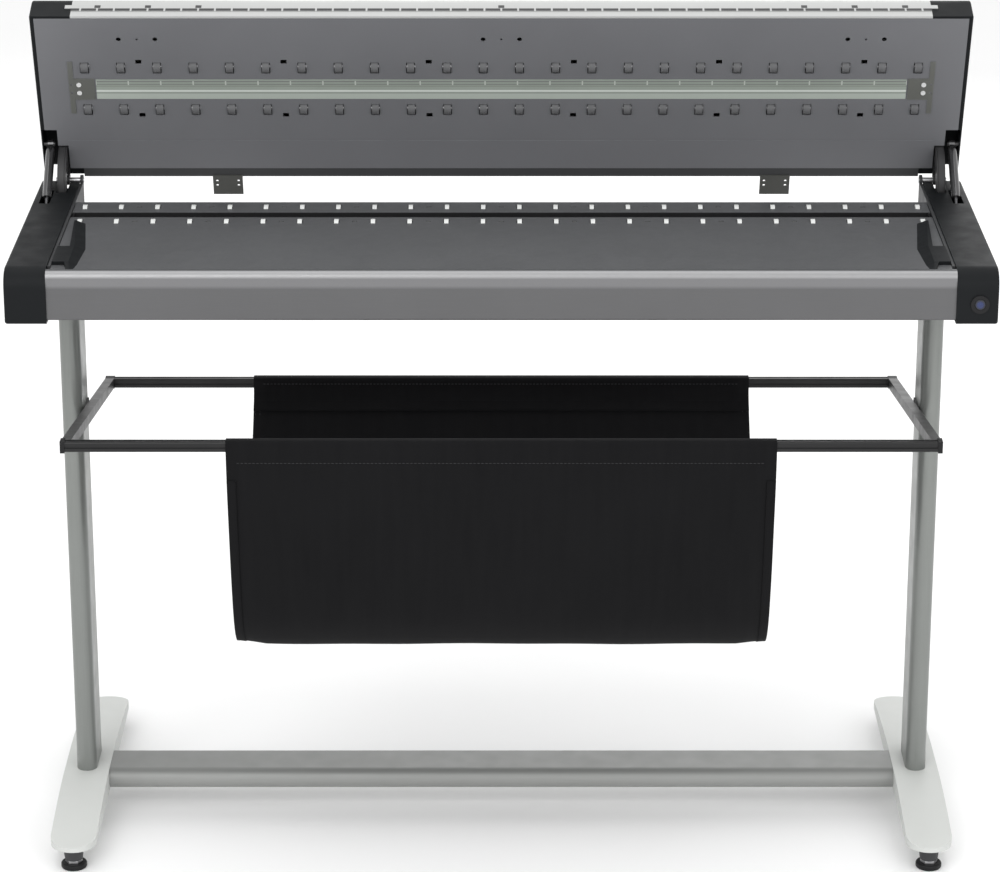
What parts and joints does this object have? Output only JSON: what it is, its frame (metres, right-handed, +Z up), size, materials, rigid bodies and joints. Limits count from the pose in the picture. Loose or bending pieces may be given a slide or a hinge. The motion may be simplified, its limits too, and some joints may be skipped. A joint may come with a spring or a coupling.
{
  "type": "wide format sheet-fed scanner",
  "caption": "Wide sheet-fed scanner with its lid held open on gas struts, feed rollers, side arms and a two-post stand with a cloth catch sling.",
  "frame": {"origin": "middle of the whole object on the floor, under its bounding box", "axes": "+X to the operator's right, +Y from the operator's side to the back, +Z up"},
  "size_m": [1.32, 0.6084, 1.1465],
  "materials": {
    "light_paint": "satin powder coat",
    "satin_aluminium": "satin anodised",
    "beam_aluminium": "satin anodised",
    "steel": "zinc plated",
    "black_plastic": "matte moulded",
    "charcoal_plastic": "fine moulded grain",
    "black_bar": "black anodised",
    "black_fabric": "matte woven",
    "table_grey": "satin paint",
    "tray_grey": "satin paint",
    "panel_grey": "satin anodised",
    "lid_grey": "satin paint",
    "lid_white": "satin white paint",
    "strip_white": "printed strip",
    "roller_white": "soft matte",
    "roller_grey": "soft matte",
    "glass": "clear",
    "sensor_housing": "satin",
    "retainer_grey": "satin paint",
    "screw_white": "bright",
    "strut_dark": "gloss paint",
    "strut_rod": "polished",
    "belt_rubber": "matte",
    "board_green": "solder mask",
    "button_blue": "lit centre",
    "motor_metal": "satin"
  },
  "bodies": {
    "base": {"post_left": "satin_aluminium", "post_right": "satin_aluminium", "foot_bar_left": "light_paint", "foot_bar_right": "light_paint", "cross_beam": "beam_aluminium", "post_plates": "steel", "foot_sockets": "charcoal_plastic", "stand_fasteners": "steel", "basket_front_bar": "black_bar", "basket_rear_bar": "black_bar", "basket_arms": "black_bar", "basket_fittings": "black_plastic", "sling": "black_fabric", "base_tray": "tray_grey", "feed_table": "table_grey", "rear_table": "table_grey", "scan_backing": "black_plastic", "media_sensors": "black_plastic", "front_panel": "panel_grey", "side_frame_left": "tray_grey", "side_frame_right": "tray_grey", "hinge_pins": "steel", "side_cap_left": "charcoal_plastic", "side_cap_right": "charcoal_plastic", "side_guides": "charcoal_plastic", "shaft_supports": "black_plastic", "drive_motor": "motor_metal", "drive_belt": "belt_rubber", "main_board": "board_green", "power_supply": "motor_metal", "io_panel": "tray_grey", "power_inlet": "black_plastic", "button_bezel": "black_plastic"},
    "foot_front_left": {"levelling_foot_front_left": "black_plastic"},
    "foot_front_right": {"levelling_foot_front_right": "black_plastic"},
    "foot_rear_left": {"levelling_foot_rear_left": "black_plastic"},
    "foot_rear_right": {"levelling_foot_rear_right": "black_plastic"},
    "drive_front": {"drive_shaft_front": "steel", "drive_rollers_front": "roller_white"},
    "drive_rear": {"drive_shaft_rear": "steel", "drive_rollers_rear": "roller_white"},
    "motor_rotor": {"motor_pulley": "motor_metal"},
    "lid": {"lid_cover": "lid_white", "lid_cap_left": "charcoal_plastic", "lid_cap_right": "charcoal_plastic", "lid_rear_rail": "charcoal_plastic", "lid_panel": "lid_grey", "ruler_strip": "strip_white", "scan_glass": "glass", "sensor_bar": "sensor_housing", "glass_retainers": "retainer_grey", "idler_shafts": "steel", "hinge_arms": "black_plastic", "return_guides": "retainer_grey", "lid_fasteners": "screw_white"},
    "idlers_front": {"idler_rollers_front": "roller_grey"},
    "idlers_rear": {"idler_rollers_rear": "roller_grey"},
    "struts": {"strut_cylinders": "strut_dark"},
    "strut_rods": {"strut_rods": "strut_rod"},
    "button": {"power_button": "button_blue"}
  },
  "joints": [
    {"name": "lid_hinge", "type": "hinge", "parent": "base", "child": "lid", "pos_m": [0, 0.244, 0.871], "axis": [1, 0, 0], "range_deg": [0, 68]},
    {"name": "strut_swing", "type": "hinge", "parent": "lid", "child": "struts", "pos_m": [0, 0.23415, 0.92742], "axis": [1, 0, 0], "range_deg": [-71.11, 0]},
    {"name": "strut_slide", "type": "slide", "parent": "struts", "child": "strut_rods", "axis": [0, -0.7747, -0.6323], "range_m": [-0.0639, 0]},
    {"name": "drive_front_spin", "type": "hinge", "parent": "base", "child": "drive_front", "pos_m": [0, 0.049, 0.857], "axis": [1, 0, 0], "continuous": true},
    {"name": "drive_rear_spin", "type": "hinge", "parent": "base", "child": "drive_rear", "pos_m": [0, 0.121, 0.857], "axis": [1, 0, 0], "continuous": true},
    {"name": "motor_spin", "type": "hinge", "parent": "base", "child": "motor_rotor", "pos_m": [0, 0.085, 0.822], "axis": [1, 0, 0], "continuous": true},
    {"name": "idler_front_spin", "type": "hinge", "parent": "lid", "child": "idlers_front", "pos_m": [0, 0.178, 1.05465], "axis": [1, 0, 0], "continuous": true},
    {"name": "idler_rear_spin", "type": "hinge", "parent": "lid", "child": "idlers_rear", "pos_m": [0, 0.20497, 0.98789], "axis": [1, 0, 0], "continuous": true},
    {"name": "button_press", "type": "slide", "parent": "base", "child": "button", "axis": [0, 1, 0], "range_m": [0, 0.002], "stiffness_N_per_m": 900, "springref_m": -0.0006},
    {"name": "foot_front_left_screw", "type": "slide", "parent": "base", "child": "foot_front_left", "axis": [0, 0, -1], "range_m": [0, 0.015]},
    {"name": "foot_front_right_screw", "type": "slide", "parent": "base", "child": "foot_front_right", "axis": [0, 0, -1], "range_m": [0, 0.015]},
    {"name": "foot_rear_left_screw", "type": "slide", "parent": "base", "child": "foot_rear_left", "axis": [0, 0, -1], "range_m": [0, 0.015]},
    {"name": "foot_rear_right_screw", "type": "slide", "parent": "base", "child": "foot_rear_right", "axis": [0, 0, -1], "range_m": [0, 0.015]}
  ],
  "couplings": [
    {"joint": "strut_swing", "follows": "lid_hinge", "ratio": -1.0428},
    {"joint": "strut_slide", "follows": "lid_hinge", "m_per_rad": -0.053677},
    {"joint": "drive_rear_spin", "follows": "drive_front_spin", "ratio": 1},
    {"joint": "motor_spin", "follows": "drive_front_spin", "ratio": 1.25}
  ]
}
